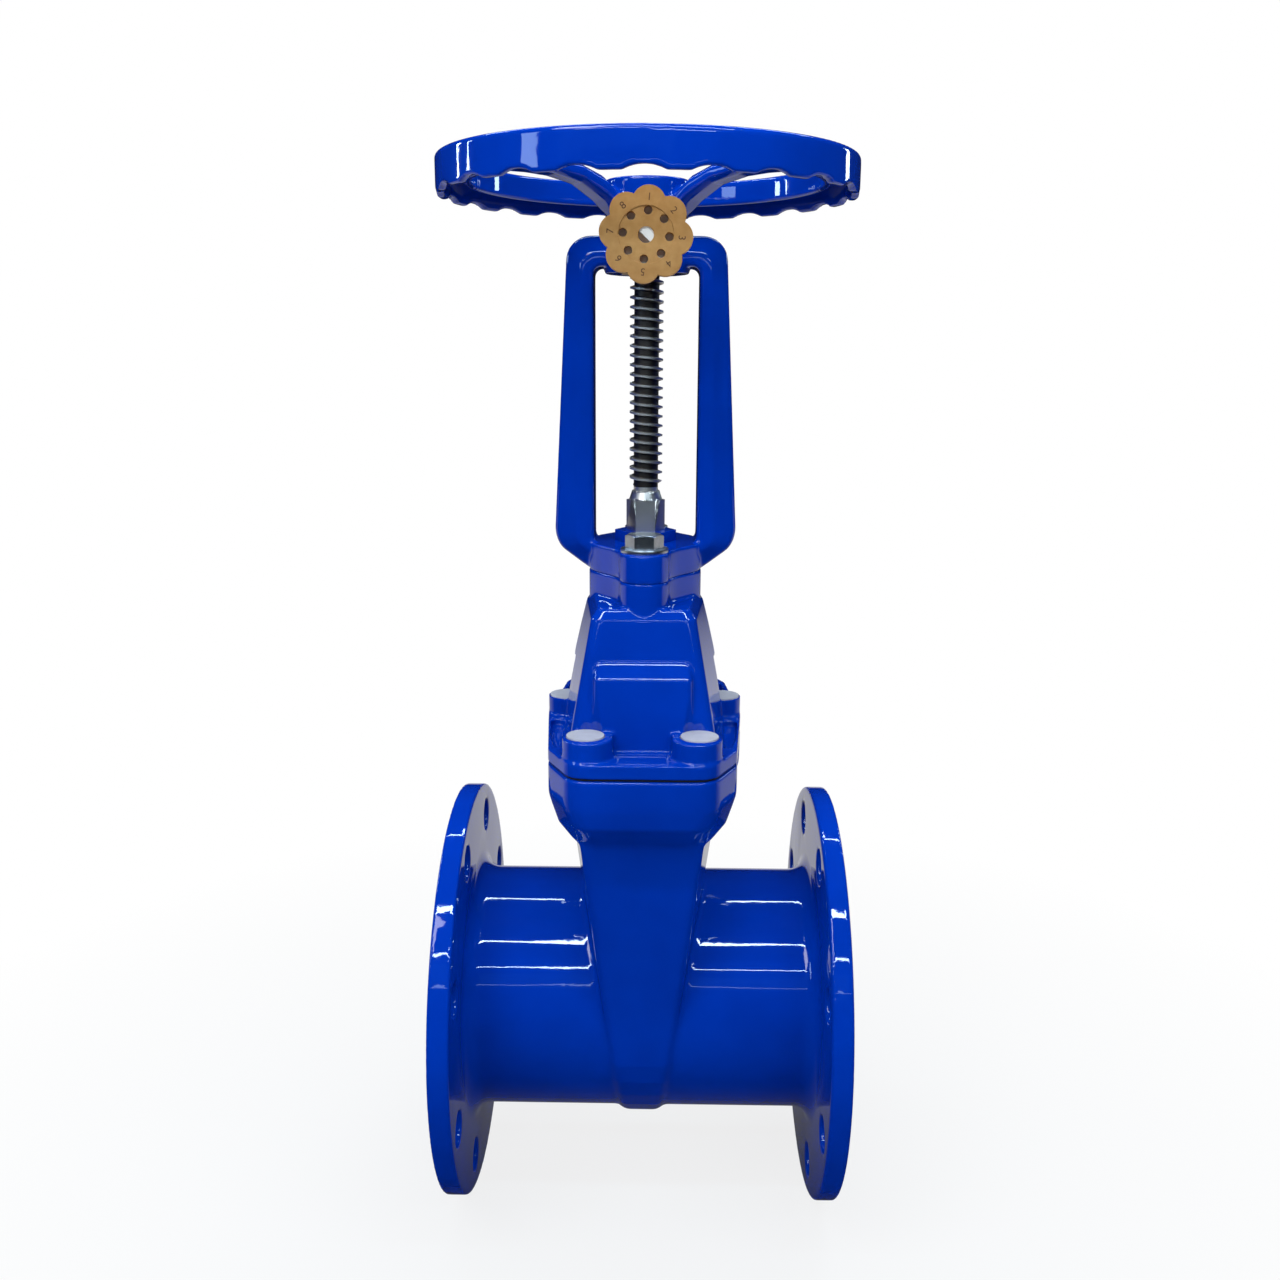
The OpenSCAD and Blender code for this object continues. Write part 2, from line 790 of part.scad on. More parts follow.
module yoke() {
  color(body_color)
    on_stem()
      difference() {
        union() {
          yoke_base();
          for (side = [0, 1])
            mirror([side, 0, 0])
              skin([for (s = leg_stations()) leg_ring(s)]);
          translate([0, 0, window_top_z - 4])
            cylinder(r = hub_r, h = hub_top_z - window_top_z + 4, $fn = 96);
        }
        translate([0, 0, bonnet_top_z - 1])
          cylinder(d = stuffing_d + 2, h = base_t + 2, $fn = 64);
        for (sy = [-1, 1])
          translate([0, sy * yoke_bolt_y, bonnet_top_z - 1])
            cylinder(d = yoke_bolt_d + 2 * bolt_gap, h = base_t + 2, $fn = 32);
        translate([0, 0, window_top_z - 5])
          cylinder(r = nut_d / 2 + run_gap, h = 40, $fn = 96);
        translate([0, 0, nut_seat_z])
          cylinder(r = collar_nut_d / 2 + 0.3, h = 40, $fn = 96);
        translate([0, -hub_r - 1, knob_z])
          rotate([-90, 0, 0])
            cylinder(d = spindle_d, h = hub_r - collar_nut_d / 2, $fn = 48);
      }
}

module yoke_bolt(sy) {
  color(steel_color)
    on_stem()
      translate([0, sy * yoke_bolt_y, 0]) {
        translate([0, 0, bonnet_top_z - yoke_bolt_depth + 2])
          cylinder(d = yoke_bolt_d, h = base_t + washer_t + yoke_bolt_depth - 1, $fn = 32);
        translate([0, 0, base_z + washer_t])
          intersection() {
            rotate([0, 0, 0])
              hex_bar(yoke_bolt_af, yoke_bolt_head_h);
            hex_chamfer(yoke_bolt_af, yoke_bolt_head_h, 0);
          }
      }
}

module yoke_washer(sy) {
  color(steel_color)
    on_stem()
      translate([0, sy * yoke_bolt_y, base_z])
        difference() {
          cylinder(d = washer_d, h = washer_t, $fn = 64);
          translate([0, 0, -1])
            cylinder(d = yoke_bolt_d + 0.8, h = washer_t + 2, $fn = 32);
        }
}

// ---- Stem sealing ----

module gland_nut() {
  color(body_color)
    on_stem()
      difference() {
        union() {
          translate([0, 0, bonnet_top_z - 6])
            cylinder(d = stuffing_d - 0.4, h = base_t + 7, $fn = 64);
          translate([0, 0, base_z])
            hex_bar(gland_af, gland_h);
        }
        translate([0, 0, bonnet_top_z - 7])
          cylinder(d = guide_af - 2, h = base_t + gland_h + 10, $fn = 48);
      }
}

module stem_guide() {
  color(steel_color)
    on_stem()
      difference() {
        union() {
          translate([0, 0, gland_top_z - 14])
            cylinder(d = guide_af - 2.2, h = 15, $fn = 48);
          translate([0, 0, gland_top_z])
            hex_bar(guide_af, guide_h);
          translate([0, 0, guide_top_z])
            cylinder(r1 = guide_af / 2, r2 = stem_d / 2 + 1, h = guide_cone_h, $fn = 64);
        }
        translate([0, 0, gland_top_z - 15])
          cylinder(r = stem_d / 2 + run_gap, h = 60, $fn = 64);
      }
}

module packing_ring() {
  color(rubber_color)
    on_stem()
      translate([0, 0, cavity_top_z + 6])
        difference() {
          cylinder(d = stuffing_d - 0.2, h = bonnet_top_z - 6 - cavity_top_z - 6, $fn = 64);
          translate([0, 0, -1])
            cylinder(d = stem_d + 0.3, h = 40, $fn = 64);
        }
}

// ---- Stem and wedge ----

module stem() {
  neck = (thread_d - stem_d) / 2;
  color(steel_color)
    on_stem()
      rotate_extrude($fn = 96)
        polygon([
          [0, wedge_r - 10],
          [stem_d / 2, wedge_r - 10],
          [stem_d / 2, thread_z - neck],
          [thread_d / 2, thread_z],
          [thread_d / 2, stem_top_z - 1.5],
          [thread_d / 2 - 1.5, stem_top_z],
          [0, stem_top_z]
        ]);
}

module wedge() {
  head_w = 56;
  head_top = wedge_r + 14;
  color(rubber_color)
    on_stem()
      difference() {
        intersection() {
          union() {
            rotate([0, 90, 0])
              cylinder(r = wedge_r, h = 4 * wedge_r, center = true, $fn = 120);
            translate([-2 * wedge_r, -head_w / 2, 0])
              cube([4 * wedge_r, head_w, head_top]);
          }
          wedge_prism(-wedge_r - 1, head_top + 1, 0);
        }
        translate([-100, -nut_block[1] / 2 - 0.3, nut_block_z - 0.3])
          cube([200, nut_block[1] + 0.6, nut_block[2] + 0.6]);
        translate([-100, -stem_d / 2 - 1, nut_block_z])
          cube([200, stem_d + 2, 60]);
      }
}

module wedge_nut() {
  color(brass_color)
    on_stem()
      difference() {
        translate([-nut_block[0] / 2, -nut_block[1] / 2, nut_block_z])
          cube(nut_block);
        translate([0, 0, nut_block_z - 1])
          cylinder(d = stem_d + 2 * tiny, h = nut_block[2] + 2, $fn = 64);
      }
}

// ---- Stem nut and its bearing ----

module stem_nut() {
  top_z = wheel_hub_top_z;
  color(brass_color)
    on_stem()
      rotate_extrude($fn = 96)
        polygon([
          [thread_d / 2 + run_gap, window_top_z - 4],
          [nut_d / 2, window_top_z - 4],
          [nut_d / 2, nut_collar_z],
          [collar_nut_d / 2, nut_collar_z],
          [collar_nut_d / 2, nut_collar_z + collar_nut_t],
          [nut_d / 2, nut_collar_z + collar_nut_t],
          [nut_d / 2, top_z + wheel_nut_h],
          [thread_d / 2 + run_gap, top_z + wheel_nut_h]
        ]);
}

module thrust_washer(z) {
  color(steel_color)
    on_stem()
      translate([0, 0, z])
        difference() {
          cylinder(d = collar_nut_d, h = thrust_t, $fn = 96);
          translate([0, 0, -1])
            cylinder(d = nut_d + 0.4, h = thrust_t + 2, $fn = 96);
        }
}

module cover_ring() {
  color(body_color)
    on_stem()
      translate([0, 0, cover_z])
        difference() {
          cylinder(d = collar_nut_d + 0.4, h = cover_t + 2, $fn = 96);
          translate([0, 0, -1])
            cylinder(d = nut_d + 1, h = cover_t + 4, $fn = 96);
        }
}

// ---- Handwheel ----

// Cross-section of the rim: a channel that opens downwards
module rim_section() {
  r = 2.5;
  low = wheel_top_z - rim_h;
  inner_h = 16;
  translate([wheel_r - rim_wall, low])
    square([rim_wall, rim_h - r]);
  translate([wheel_r - rim_w + r, wheel_top_z - rim_wall])
    square([rim_w - 2 * r, rim_wall]);
  translate([wheel_r - rim_w, wheel_top_z - inner_h])
    square([rim_wall, inner_h - r]);
  translate([wheel_r - r, wheel_top_z - r])
    circle(r = r, $fn = 48);
  translate([wheel_r - rim_w + r, wheel_top_z - r])
    circle(r = r, $fn = 48);
}

// Cross-section of a spoke at distance d from the stem, with its underside at height z
function spoke_ring(d, z, w, t) = [
  for (q = [[-0.5, 0.2], [-0.3, 0], [0.3, 0], [0.5, 0.2],
    [0.5, 0.7], [0.2, 1], [-0.2, 1], [-0.5, 0.7]])
  [d, q[0] * w, z + q[1] * t]
];

module spoke() {
  low = wheel_hub_z + 2;
  high = wheel_top_z - rim_wall - spoke_t / 2;
  reach = wheel_r - rim_w + 2;
  start = wheel_nut_af / 2 + 5;
  rise = high - low;
  skin([
    spoke_ring(start, low, spoke_w * 1.1, spoke_t),
    spoke_ring(wheel_hub_r, low, spoke_w * 1.1, spoke_t),
    spoke_ring(wheel_hub_r + 8, low + rise * 0.33, spoke_w * 1.05, spoke_t),
    spoke_ring(wheel_hub_r + 23, low + rise * 0.76, spoke_w, spoke_t * 0.8),
    spoke_ring(wheel_hub_r + 40, low + rise * 0.95, spoke_w, spoke_t * 0.65),
    spoke_ring(wheel_hub_r + 54, high, spoke_w, spoke_t * 0.55),
    spoke_ring(reach, high, spoke_w, spoke_t * 0.5)
  ]);
}

module handwheel() {
  grip_r = 25;
  low = wheel_top_z - rim_h;
  color(body_color)
    on_stem()
      difference() {
        union() {
          rotate_extrude($fn = 180)
            rim_section();
          for (i = [0 : spoke_count - 1])
            rotate([0, 0, 90 + 360 * i / spoke_count])
              spoke();
          translate([0, 0, wheel_hub_z])
            cylinder(r = wheel_hub_r, h = wheel_hub_h + wheel_nut_h, $fn = 96);
        }
        translate([0, 0, wheel_hub_z - 1])
          cylinder(r = nut_d / 2 + tiny, h = wheel_hub_h + 30, $fn = 96);
        translate([0, 0, wheel_hub_top_z])
          cylinder(r = wheel_nut_af / sqrt(3) + nut_recess_gap, h = spoke_t, $fn = 96);
        for (i = [0 : grip_count - 1])
          rotate([0, 0, 360 * (i + 0.5) / grip_count])
            translate([wheel_r - rim_wall - 2, 0, low - grip_r + grip_depth])
              rotate([0, 90, 0])
                cylinder(r = grip_r, h = rim_wall + 4, $fn = 48);
      }
}

module handwheel_nut() {
  color(steel_color)
    on_stem()
      translate([0, 0, wheel_hub_top_z])
        difference() {
          hex_bar(wheel_nut_af, wheel_nut_h);
          translate([0, 0, -1])
            cylinder(r = nut_d / 2 + tiny, h = wheel_nut_h + 2, $fn = 96);
        }
}

// ---- Lock knob ----

module lock_spindle() {
  sunk = 1.5;
  color(steel_color)
    on_stem()
      translate([0, -knob_y - knob_t, knob_z])
        rotate([-90, 0, 0])
          difference() {
            union() {
              translate([0, 0, sunk])
                cylinder(d = spindle_d - 2 * run_gap,
                  h = knob_y + knob_t - sunk - collar_nut_d / 2 - 1.5, $fn = 48);
              translate([0, 0, knob_t + tiny])
                cylinder(d = spindle_shoulder_d, h = 2.5, $fn = 64);
            }
            rotate([0, 0, 45])
              translate([-spindle_d, 1.2, 0])
                cube([2 * spindle_d, spindle_d, knob_t - 1]);
          }
}

module knob_outline() {
  lobe_r = 10;
  reach = knob_d / 2 - lobe_r;
  dip_r = 6;
  difference() {
    union() {
      circle(r = reach + 2.5, $fn = 96);
      for (i = [0 : knob_lobes - 1])
        rotate(360 * i / knob_lobes)
          translate([reach, 0])
            circle(r = lobe_r, $fn = 48);
    }
    for (i = [0 : knob_lobes - 1])
      rotate(360 * (i + 0.5) / knob_lobes)
        translate([knob_d / 2 + 3.2, 0])
          circle(r = dip_r, $fn = 48);
  }
}

module lock_knob() {
  color("goldenrod")
    on_stem()
      translate([0, -knob_y, knob_z])
        rotate([90, knob_turn, 0])
          difference() {
            linear_extrude(knob_t)
              knob_outline();
            translate([0, 0, knob_t - knob_step])
              cylinder(r = knob_hole_circle_r + 2.6, h = 1, $fn = 96);
            translate([0, 0, -1])
              cylinder(d = spindle_d - 2 * run_gap + 2 * tiny, h = knob_t + 2, $fn = 48);
            for (i = [0 : knob_lobes - 1])
              rotate([0, 0, 360 * i / knob_lobes])
                translate([knob_hole_circle_r, 0, -1])
                  cylinder(d = knob_hole_d, h = knob_t + 2, $fn = 32);
          }
}

body();
bonnet();
bonnet_gasket();
bonnet_bolt(0);  // bonnet_bolt_1
bonnet_bolt(1);  // bonnet_bolt_2
bonnet_bolt(2);  // bonnet_bolt_3
bonnet_bolt(3);  // bonnet_bolt_4
bonnet_bolt(4);  // bonnet_bolt_5
bonnet_bolt(5);  // bonnet_bolt_6
sealing_plug(0);  // sealing_plug_1
sealing_plug(1);  // sealing_plug_2
sealing_plug(2);  // sealing_plug_3
sealing_plug(3);  // sealing_plug_4
sealing_plug(4);  // sealing_plug_5
sealing_plug(5);  // sealing_plug_6
yoke();
yoke_bolt(-1);  // yoke_bolt_front
yoke_bolt(1);  // yoke_bolt_back
yoke_washer(-1);  // yoke_washer_front
yoke_washer(1);  // yoke_washer_back
gland_nut();
stem_guide();
packing_ring();
stem();
wedge();
wedge_nut();
stem_nut();
thrust_washer(nut_seat_z);  // lower_thrust_washer
thrust_washer(cover_z - thrust_t);  // upper_thrust_washer
cover_ring();
handwheel();
handwheel_nut();
lock_spindle();
lock_knob();
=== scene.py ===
# Rising stem gate valve: finishes, screw thread, dial figures, floor, lamps and camera.
import math

import bmesh
import bpy
from mathutils import Matrix, Vector


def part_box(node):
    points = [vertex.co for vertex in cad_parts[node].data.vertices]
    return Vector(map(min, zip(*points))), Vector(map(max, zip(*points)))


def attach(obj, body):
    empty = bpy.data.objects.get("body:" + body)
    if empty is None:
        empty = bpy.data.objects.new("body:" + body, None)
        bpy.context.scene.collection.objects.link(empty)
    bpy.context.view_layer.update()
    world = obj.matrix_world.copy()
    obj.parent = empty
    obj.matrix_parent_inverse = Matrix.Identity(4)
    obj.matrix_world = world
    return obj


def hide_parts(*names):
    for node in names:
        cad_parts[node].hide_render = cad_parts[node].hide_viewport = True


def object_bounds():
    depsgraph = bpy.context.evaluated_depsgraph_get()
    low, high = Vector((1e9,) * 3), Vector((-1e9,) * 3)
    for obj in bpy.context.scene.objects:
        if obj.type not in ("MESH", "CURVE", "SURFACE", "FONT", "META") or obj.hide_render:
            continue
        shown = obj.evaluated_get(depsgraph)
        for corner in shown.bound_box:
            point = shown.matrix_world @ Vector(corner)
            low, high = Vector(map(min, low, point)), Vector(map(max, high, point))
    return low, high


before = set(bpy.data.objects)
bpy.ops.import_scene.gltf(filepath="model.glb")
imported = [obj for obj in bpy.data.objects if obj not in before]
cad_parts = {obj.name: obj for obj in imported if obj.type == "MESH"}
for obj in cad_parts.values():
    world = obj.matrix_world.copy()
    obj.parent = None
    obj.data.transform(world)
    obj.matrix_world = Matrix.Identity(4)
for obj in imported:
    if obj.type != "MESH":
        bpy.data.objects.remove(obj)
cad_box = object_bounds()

MM = 0.001

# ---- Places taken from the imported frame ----

stem_low, stem_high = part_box("stem")
STEM_X = (stem_low.x + stem_high.x) / 2
FLOOR_Z = cad_box[0][2]
VALVE_MIDDLE = Vector((STEM_X, 0, 0))
THREAD_Z = 360 * MM  # the thread's foot when the valve is shut, just above the stem guide

# ---- Sizes that the mesh tools share ----

WELD = 0.002 * MM  # corners nearer than this are one corner
CAST_EDGE = math.radians(25)  # a casting's edges are sharper than this
MACHINED_EDGE = math.radians(35)  # machined edges sharper than this are broken
SCREW_EDGE = math.radians(40)  # the screw's edges stay crisp past this
LAST_PASSES = 4  # light evening after a casting is laid back onto its true surface


# ---- Materials ----

def linear(hex_colour):
    """An sRGB hex colour as the linear colour that a shader takes."""
    channels = [int(hex_colour[i:i + 2], 16) / 255 for i in (1, 3, 5)]
    return [c / 12.92 if c <= 0.04045 else ((c + 0.055) / 1.055) ** 2.4 for c in channels] + [1]


def add(tree, kind, inputs=None, **settings):
    """Adds a node: settings are its own properties, inputs are values or sockets to link from."""
    node = tree.nodes.new(kind)
    for name, value in settings.items():
        setattr(node, name, value)
    for name, value in (inputs or {}).items():
        if isinstance(value, bpy.types.NodeSocket):
            tree.links.new(value, node.inputs[name])
        else:
            node.inputs[name].default_value = value
    return node


def finish(name, colour, **shader_values):
    """A new material with a Principled shader whose constants sit on its own sockets."""
    material = bpy.data.materials.new(name)
    material.use_nodes = True
    tree = material.node_tree
    shader = tree.nodes["Principled BSDF"]
    shader.inputs["Base Color"].default_value = linear(colour)
    for socket, value in shader_values.items():
        shader.inputs[socket.replace("_", " ")].default_value = value
    return material, tree, shader


def grain(tree, size_mm, detail=3.0, stretch=(1, 1, 1)):
    """Noise with lumps of about that real size, fixed to the piece."""
    roughness = 0.55
    place = add(tree, "ShaderNodeTexCoord")
    scaled = add(tree, "ShaderNodeMapping", {"Vector": place.outputs["Object"], "Scale": stretch})
    return add(tree, "ShaderNodeTexNoise", {
        "Vector": scaled.outputs["Vector"], "Scale": 1 / (size_mm * MM),
        "Detail": detail, "Roughness": roughness})


def relief(tree, shader, noises):
    """Bumps laid over each other, each with its real height in millimetres."""
    normal = None
    for noise, height_mm in noises:
        inputs = {"Height": noise.outputs["Fac"], "Distance": height_mm * MM, "Strength": 1.0}
        if normal:
            inputs["Normal"] = normal
        normal = add(tree, "ShaderNodeBump", inputs).outputs["Normal"]
    tree.links.new(normal, shader.inputs["Normal"])
    return normal


def shade_range(tree, noise, dark, light, low=0.3, high=0.7):
    """A colour that wanders between two tones with the noise."""
    ramp = add(tree, "ShaderNodeValToRGB", {"Fac": noise.outputs["Fac"]})
    ramp.color_ramp.elements[0].position = low
    ramp.color_ramp.elements[0].color = linear(dark)
    ramp.color_ramp.elements[1].position = high
    ramp.color_ramp.elements[1].color = linear(light)
    return ramp.outputs["Color"]


def epoxy_enamel():
    """Deep blue epoxy enamel over ductile iron: a thick wet-looking coat, faintly orange-peeled."""
    material, tree, shader = finish(
        "blue_epoxy_enamel", "#002e98", Roughness=0.5, Specular_IOR_Level=0.0, IOR=1.5,
        Coat_Weight=1.0, Coat_Roughness=0.04, Coat_IOR=1.5)
    tone = shade_range(tree, grain(tree, 45), "#002c92", "#00319e")
    tree.links.new(tone, shader.inputs["Base Color"])
    peel = grain(tree, 3.5, detail=1.0)
    casting = grain(tree, 14, detail=2.0)
    normal = relief(tree, shader, [(casting, 0.03), (peel, 0.012)])
    tree.links.new(normal, shader.inputs["Coat Normal"])
    return material


def turned_steel():
    """Turned stainless steel: fine rings round the stem give a soft stretched shine."""
    material, tree, shader = finish(
        "turned_stainless_steel", "#c9c2ba", Metallic=1.0, Roughness=0.38)
    rings = grain(tree, 0.5, stretch=(0.05, 0.05, 1))
    relief(tree, shader, [(rings, 0.012)])
    return material


def screw_steel_shaded_roots():
    """Screw-cut stainless steel: painted shade darkens the base colour in the thread's roots, so
    pale crests stand over near-black grooves.
    """
    material, tree, shader = finish("screw_steel_shaded_roots", "#8f8d8a", Metallic=1.0, Roughness=0.45)
    place = add(tree, "ShaderNodeTexCoord")
    from_axis = add(tree, "ShaderNodeVectorMath", {
        0: place.outputs["Object"], 1: (STEM_X, 0, 0)}, operation="SUBTRACT")
    flat = add(tree, "ShaderNodeVectorMath", {
        0: from_axis.outputs["Vector"], 1: (1, 1, 0)}, operation="MULTIPLY")
    radius = add(tree, "ShaderNodeVectorMath", {0: flat.outputs["Vector"]}, operation="LENGTH")
    # painted shade: the colour runs from near-black at the root radius to pale steel at the crest
    # radius, and the shank below the thread stays pale
    root_r, crest_r = 8.1 * MM, 10.4 * MM
    ramp = add(tree, "ShaderNodeMapRange", {
        "Value": radius.outputs["Value"], "From Min": root_r, "From Max": crest_r})
    height = add(tree, "ShaderNodeSeparateXYZ", {"Vector": place.outputs["Object"]})
    shank_top = THREAD_Z - 0.5 * MM
    shank = add(tree, "ShaderNodeMath", {
        0: height.outputs["Z"], 1: shank_top}, operation="LESS_THAN")
    unshaded_share = add(tree, "ShaderNodeMath", {
        0: ramp.outputs["Result"], 1: shank.outputs["Value"]}, operation="MAXIMUM")
    tone = add(tree, "ShaderNodeMix", {
        "Factor": unshaded_share.outputs["Value"], "A": linear("#544d48"), "B": linear("#e6e0d8")},
        data_type="RGBA")
    tree.links.new(tone.outputs["Result"], shader.inputs["Base Color"])
    relief(tree, shader, [(grain(tree, 0.6, stretch=(0.1, 0.1, 1)), 0.01)])
    return material


def zinc_plate():
    """Bright zinc plate on pressed steel: cool, slightly cloudy shine."""
    material, tree, shader = finish("bright_zinc_plate", "#c3c6cb", Metallic=1.0, Roughness=0.28)
    cloud = shade_range(tree, grain(tree, 6), "#b4b7bd", "#d2d4d8")
    tree.links.new(cloud, shader.inputs["Base Color"])
    relief(tree, shader, [(grain(tree, 0.8), 0.006)])
    return material


def spindle_zinc_painted_light():
    """Zinc behind the knob's holes, its base colour painted near-white and non-metallic as painted
    light against the shade in the deep holes: pale and dull.
    """
    # painted light: the pale colour stands in for light that the deep holes keep out
    material, tree, shader = finish("spindle_zinc_painted_light", "#f0e4d6", Roughness=0.6)
    relief(tree, shader, [(grain(tree, 0.7), 0.012)])
    return material


def gold_enamel():
    """Satin gold enamel over a die casting: warm, low shine with a fine grain."""
    material, tree, shader = finish(
        "satin_gold_enamel", "#b9813f", Roughness=0.5, Metallic=0.1, Coat_Weight=0.15,
        Coat_Roughness=0.3)
    tone = shade_range(tree, grain(tree, 5), "#b37b3a", "#c08a49")
    tree.links.new(tone, shader.inputs["Base Color"])
    relief(tree, shader, [(grain(tree, 1.2), 0.015)])
    return material


def pale_nylon():
    """Moulded pale grey nylon plugs: satin and a little cool."""
    material, tree, shader = finish("pale_grey_nylon", "#a6a3a8", Roughness=0.42)
    tone = shade_range(tree, grain(tree, 7), "#a09da2", "#adaaaf")
    tree.links.new(tone, shader.inputs["Base Color"])
    relief(tree, shader, [(grain(tree, 1.5), 0.01)])
    return material


def moulded_rubber():
    """Black moulded rubber: dull, with a fine moulding grain."""
    material, tree, shader = finish("black_moulded_rubber", "#1b1b1c", Roughness=0.62)
    relief(tree, shader, [(grain(tree, 1.0), 0.02)])
    return material


def machined_brass():
    """Machined brass: warm metal with fine tool marks."""
    material, tree, shader = finish("machined_brass", "#c29a4c", Metallic=1.0, Roughness=0.3)
    relief(tree, shader, [(grain(tree, 0.6, stretch=(0.1, 0.1, 1)), 0.01)])
    return material


def dark_ink():
    """Dark brown paint in the dial's figures."""
    material, tree, shader = finish("dial_paint", "#5b3517", Roughness=0.6)
    relief(tree, shader, [(grain(tree, 0.5), 0.01)])
    return material


ENAMEL = epoxy_enamel()
STEEL = turned_steel()
SCREW = screw_steel_shaded_roots()
ZINC = zinc_plate()
SPINDLE_LIGHTENED = spindle_zinc_painted_light()
GOLD = gold_enamel()
NYLON = pale_nylon()
RUBBER = moulded_rubber()
BRASS = machined_brass()
INK = dark_ink()


# ---- Mesh tools ----

def new_piece(name, mesh, body, material):
    """Puts a mesh in the scene as a named piece that moves with a body."""
    piece = bpy.data.objects.new(name, mesh)
    bpy.context.scene.collection.objects.link(piece)
    mesh.materials.clear()
    mesh.materials.append(material)
    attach(piece, body)
    return piece


def welded_copy(node):
    """A copy of a node's mesh with the corners joined, so that its edges are real edges."""
    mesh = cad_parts[node].data.copy()
    mesh.materials.clear()
    work = bmesh.new()
    work.from_mesh(mesh)
    bmesh.ops.remove_doubles(work, verts=work.verts, dist=WELD)
    work.to_mesh(mesh)
    work.free()
    return mesh


def sharp_edges(mesh, outside):
    """Only a mesh's sharp outside edges, or only its sharp inside corners, as bare edges."""
    work = bmesh.new()
    work.from_mesh(mesh)
    sharp = [e for e in work.edges if len(e.link_faces) == 2
             and e.calc_face_angle() > CAST_EDGE and e.is_convex == outside]
    corners = {v: i for i, v in enumerate({v for e in sharp for v in e.verts})}
    edges = bpy.data.meshes.new("edges")
    edges.from_pydata([v.co for v in corners], [[corners[v] for v in e.verts] for e in sharp], [])
    work.free()
    return edges


def applied(piece):
    """The piece's mesh with its modifiers made real, and the modifiers gone."""
    graph = bpy.context.evaluated_depsgraph_get()
    mesh = bpy.data.meshes.new_from_object(piece.evaluated_get(graph))
    piece.modifiers.clear()
    piece.data = mesh
    return mesh


def weigh(piece, group, edges, near_mm, far_mm):
    """Weights the piece's points by their distance from the edges: 0 at near, 1 at far."""
    points = piece.vertex_groups.new(name=group)
    points.add(range(len(piece.data.vertices)), 1.0, "REPLACE")
    weight = piece.modifiers.new(group, "VERTEX_WEIGHT_PROXIMITY")
    weight.vertex_group = group
    weight.target = edges
    weight.proximity_mode = "GEOMETRY"
    weight.proximity_geometry = {"EDGE"}
    weight.min_dist = near_mm * MM
    weight.max_dist = far_mm * MM


def relax(piece, passes, group=""):
    """Evens the piece's points out, which rounds its edges."""
    smooth = piece.modifiers.new("relax", "SMOOTH")
    smooth.factor = 0.5
    smooth.iterations = passes
    smooth.vertex_group = group


def cast_skin(node, body, voxel_mm, passes, fillet_passes, keep_mm, fillet_mm, faces):
    """The node as a sand casting: outside edges are broken, inside corners get a wider fillet.

    The solid is remade on a fine grid and relaxed, more so in its inside corners. Away from the
    edges it is then laid back onto the true surface, so that its flats and rounds stay true.
    keep_mm and fillet_mm are how far from an outside edge and an inside corner that begins.
    """
    mesh = welded_copy(node)
    guide = bpy.data.objects.new("guide", mesh.copy())
    ridges = bpy.data.objects.new("ridges", sharp_edges(mesh, True))
    corners = bpy.data.objects.new("corners", sharp_edges(mesh, False))
    piece = new_piece(node + "_casting", mesh, body, ENAMEL)
    for helper in (guide, ridges, corners):
        bpy.context.scene.collection.objects.link(helper)
    remesh = piece.modifiers.new("grid", "REMESH")
    remesh.mode = "VOXEL"
    remesh.voxel_size = voxel_mm * MM
    remesh.use_smooth_shade = True
    applied(piece)
    weigh(piece, "near_corners", corners, fillet_mm, fillet_mm * 0.5)
    relax(piece, passes)
    relax(piece, fillet_passes, "near_corners")
    weigh(piece, "off_ridges", ridges, keep_mm * 0.5, keep_mm)
    weigh(piece, "off_corners", corners, fillet_mm * 0.6, fillet_mm)
    both = piece.modifiers.new("both", "VERTEX_WEIGHT_MIX")
    both.vertex_group_a = "off_ridges"
    both.vertex_group_b = "off_corners"
    both.mix_set = "ALL"
    both.mix_mode = "MUL"
    wrap = piece.modifiers.new("wrap", "SHRINKWRAP")
    wrap.target = guide
    wrap.vertex_group = "off_ridges"
    wrap.wrap_method = "NEAREST_SURFACEPOINT"
    relax(piece, LAST_PASSES)
    mesh = applied(piece)
    dense = bpy.data.objects.new("dense", mesh.copy())
    bpy.context.scene.collection.objects.link(dense)
    thin = piece.modifiers.new("thin", "DECIMATE")
    thin.ratio = min(1.0, faces / (2 * len(mesh.polygons)))
    shading = piece.modifiers.new("shading", "DATA_TRANSFER")
    shading.object = dense
    shading.use_loop_data = True
    shading.data_types_loops = {"CUSTOM_NORMAL"}
    shading.loop_mapping = "POLYINTERP_NEAREST"
    applied(piece)
    piece.data.materials.clear()
    piece.data.materials.append(ENAMEL)
    for helper in (guide, ridges, corners, dense):
        bpy.data.objects.remove(helper)
    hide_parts(node)


def dress(node, material, bevel_mm=0.4):
    """A machined node keeps its solid and gets its finish and small broken edges."""
    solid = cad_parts[node]
    solid.data.materials.clear()
    solid.data.materials.append(material)
    weld = solid.modifiers.new("weld", "WELD")
    weld.merge_threshold = WELD
    bevel = solid.modifiers.new("edges", "BEVEL")
    bevel.width = bevel_mm * MM
    bevel.segments = 2
    bevel.limit_method = "ANGLE"
    bevel.angle_limit = MACHINED_EDGE
    bevel.harden_normals = True


# ---- Pieces ----

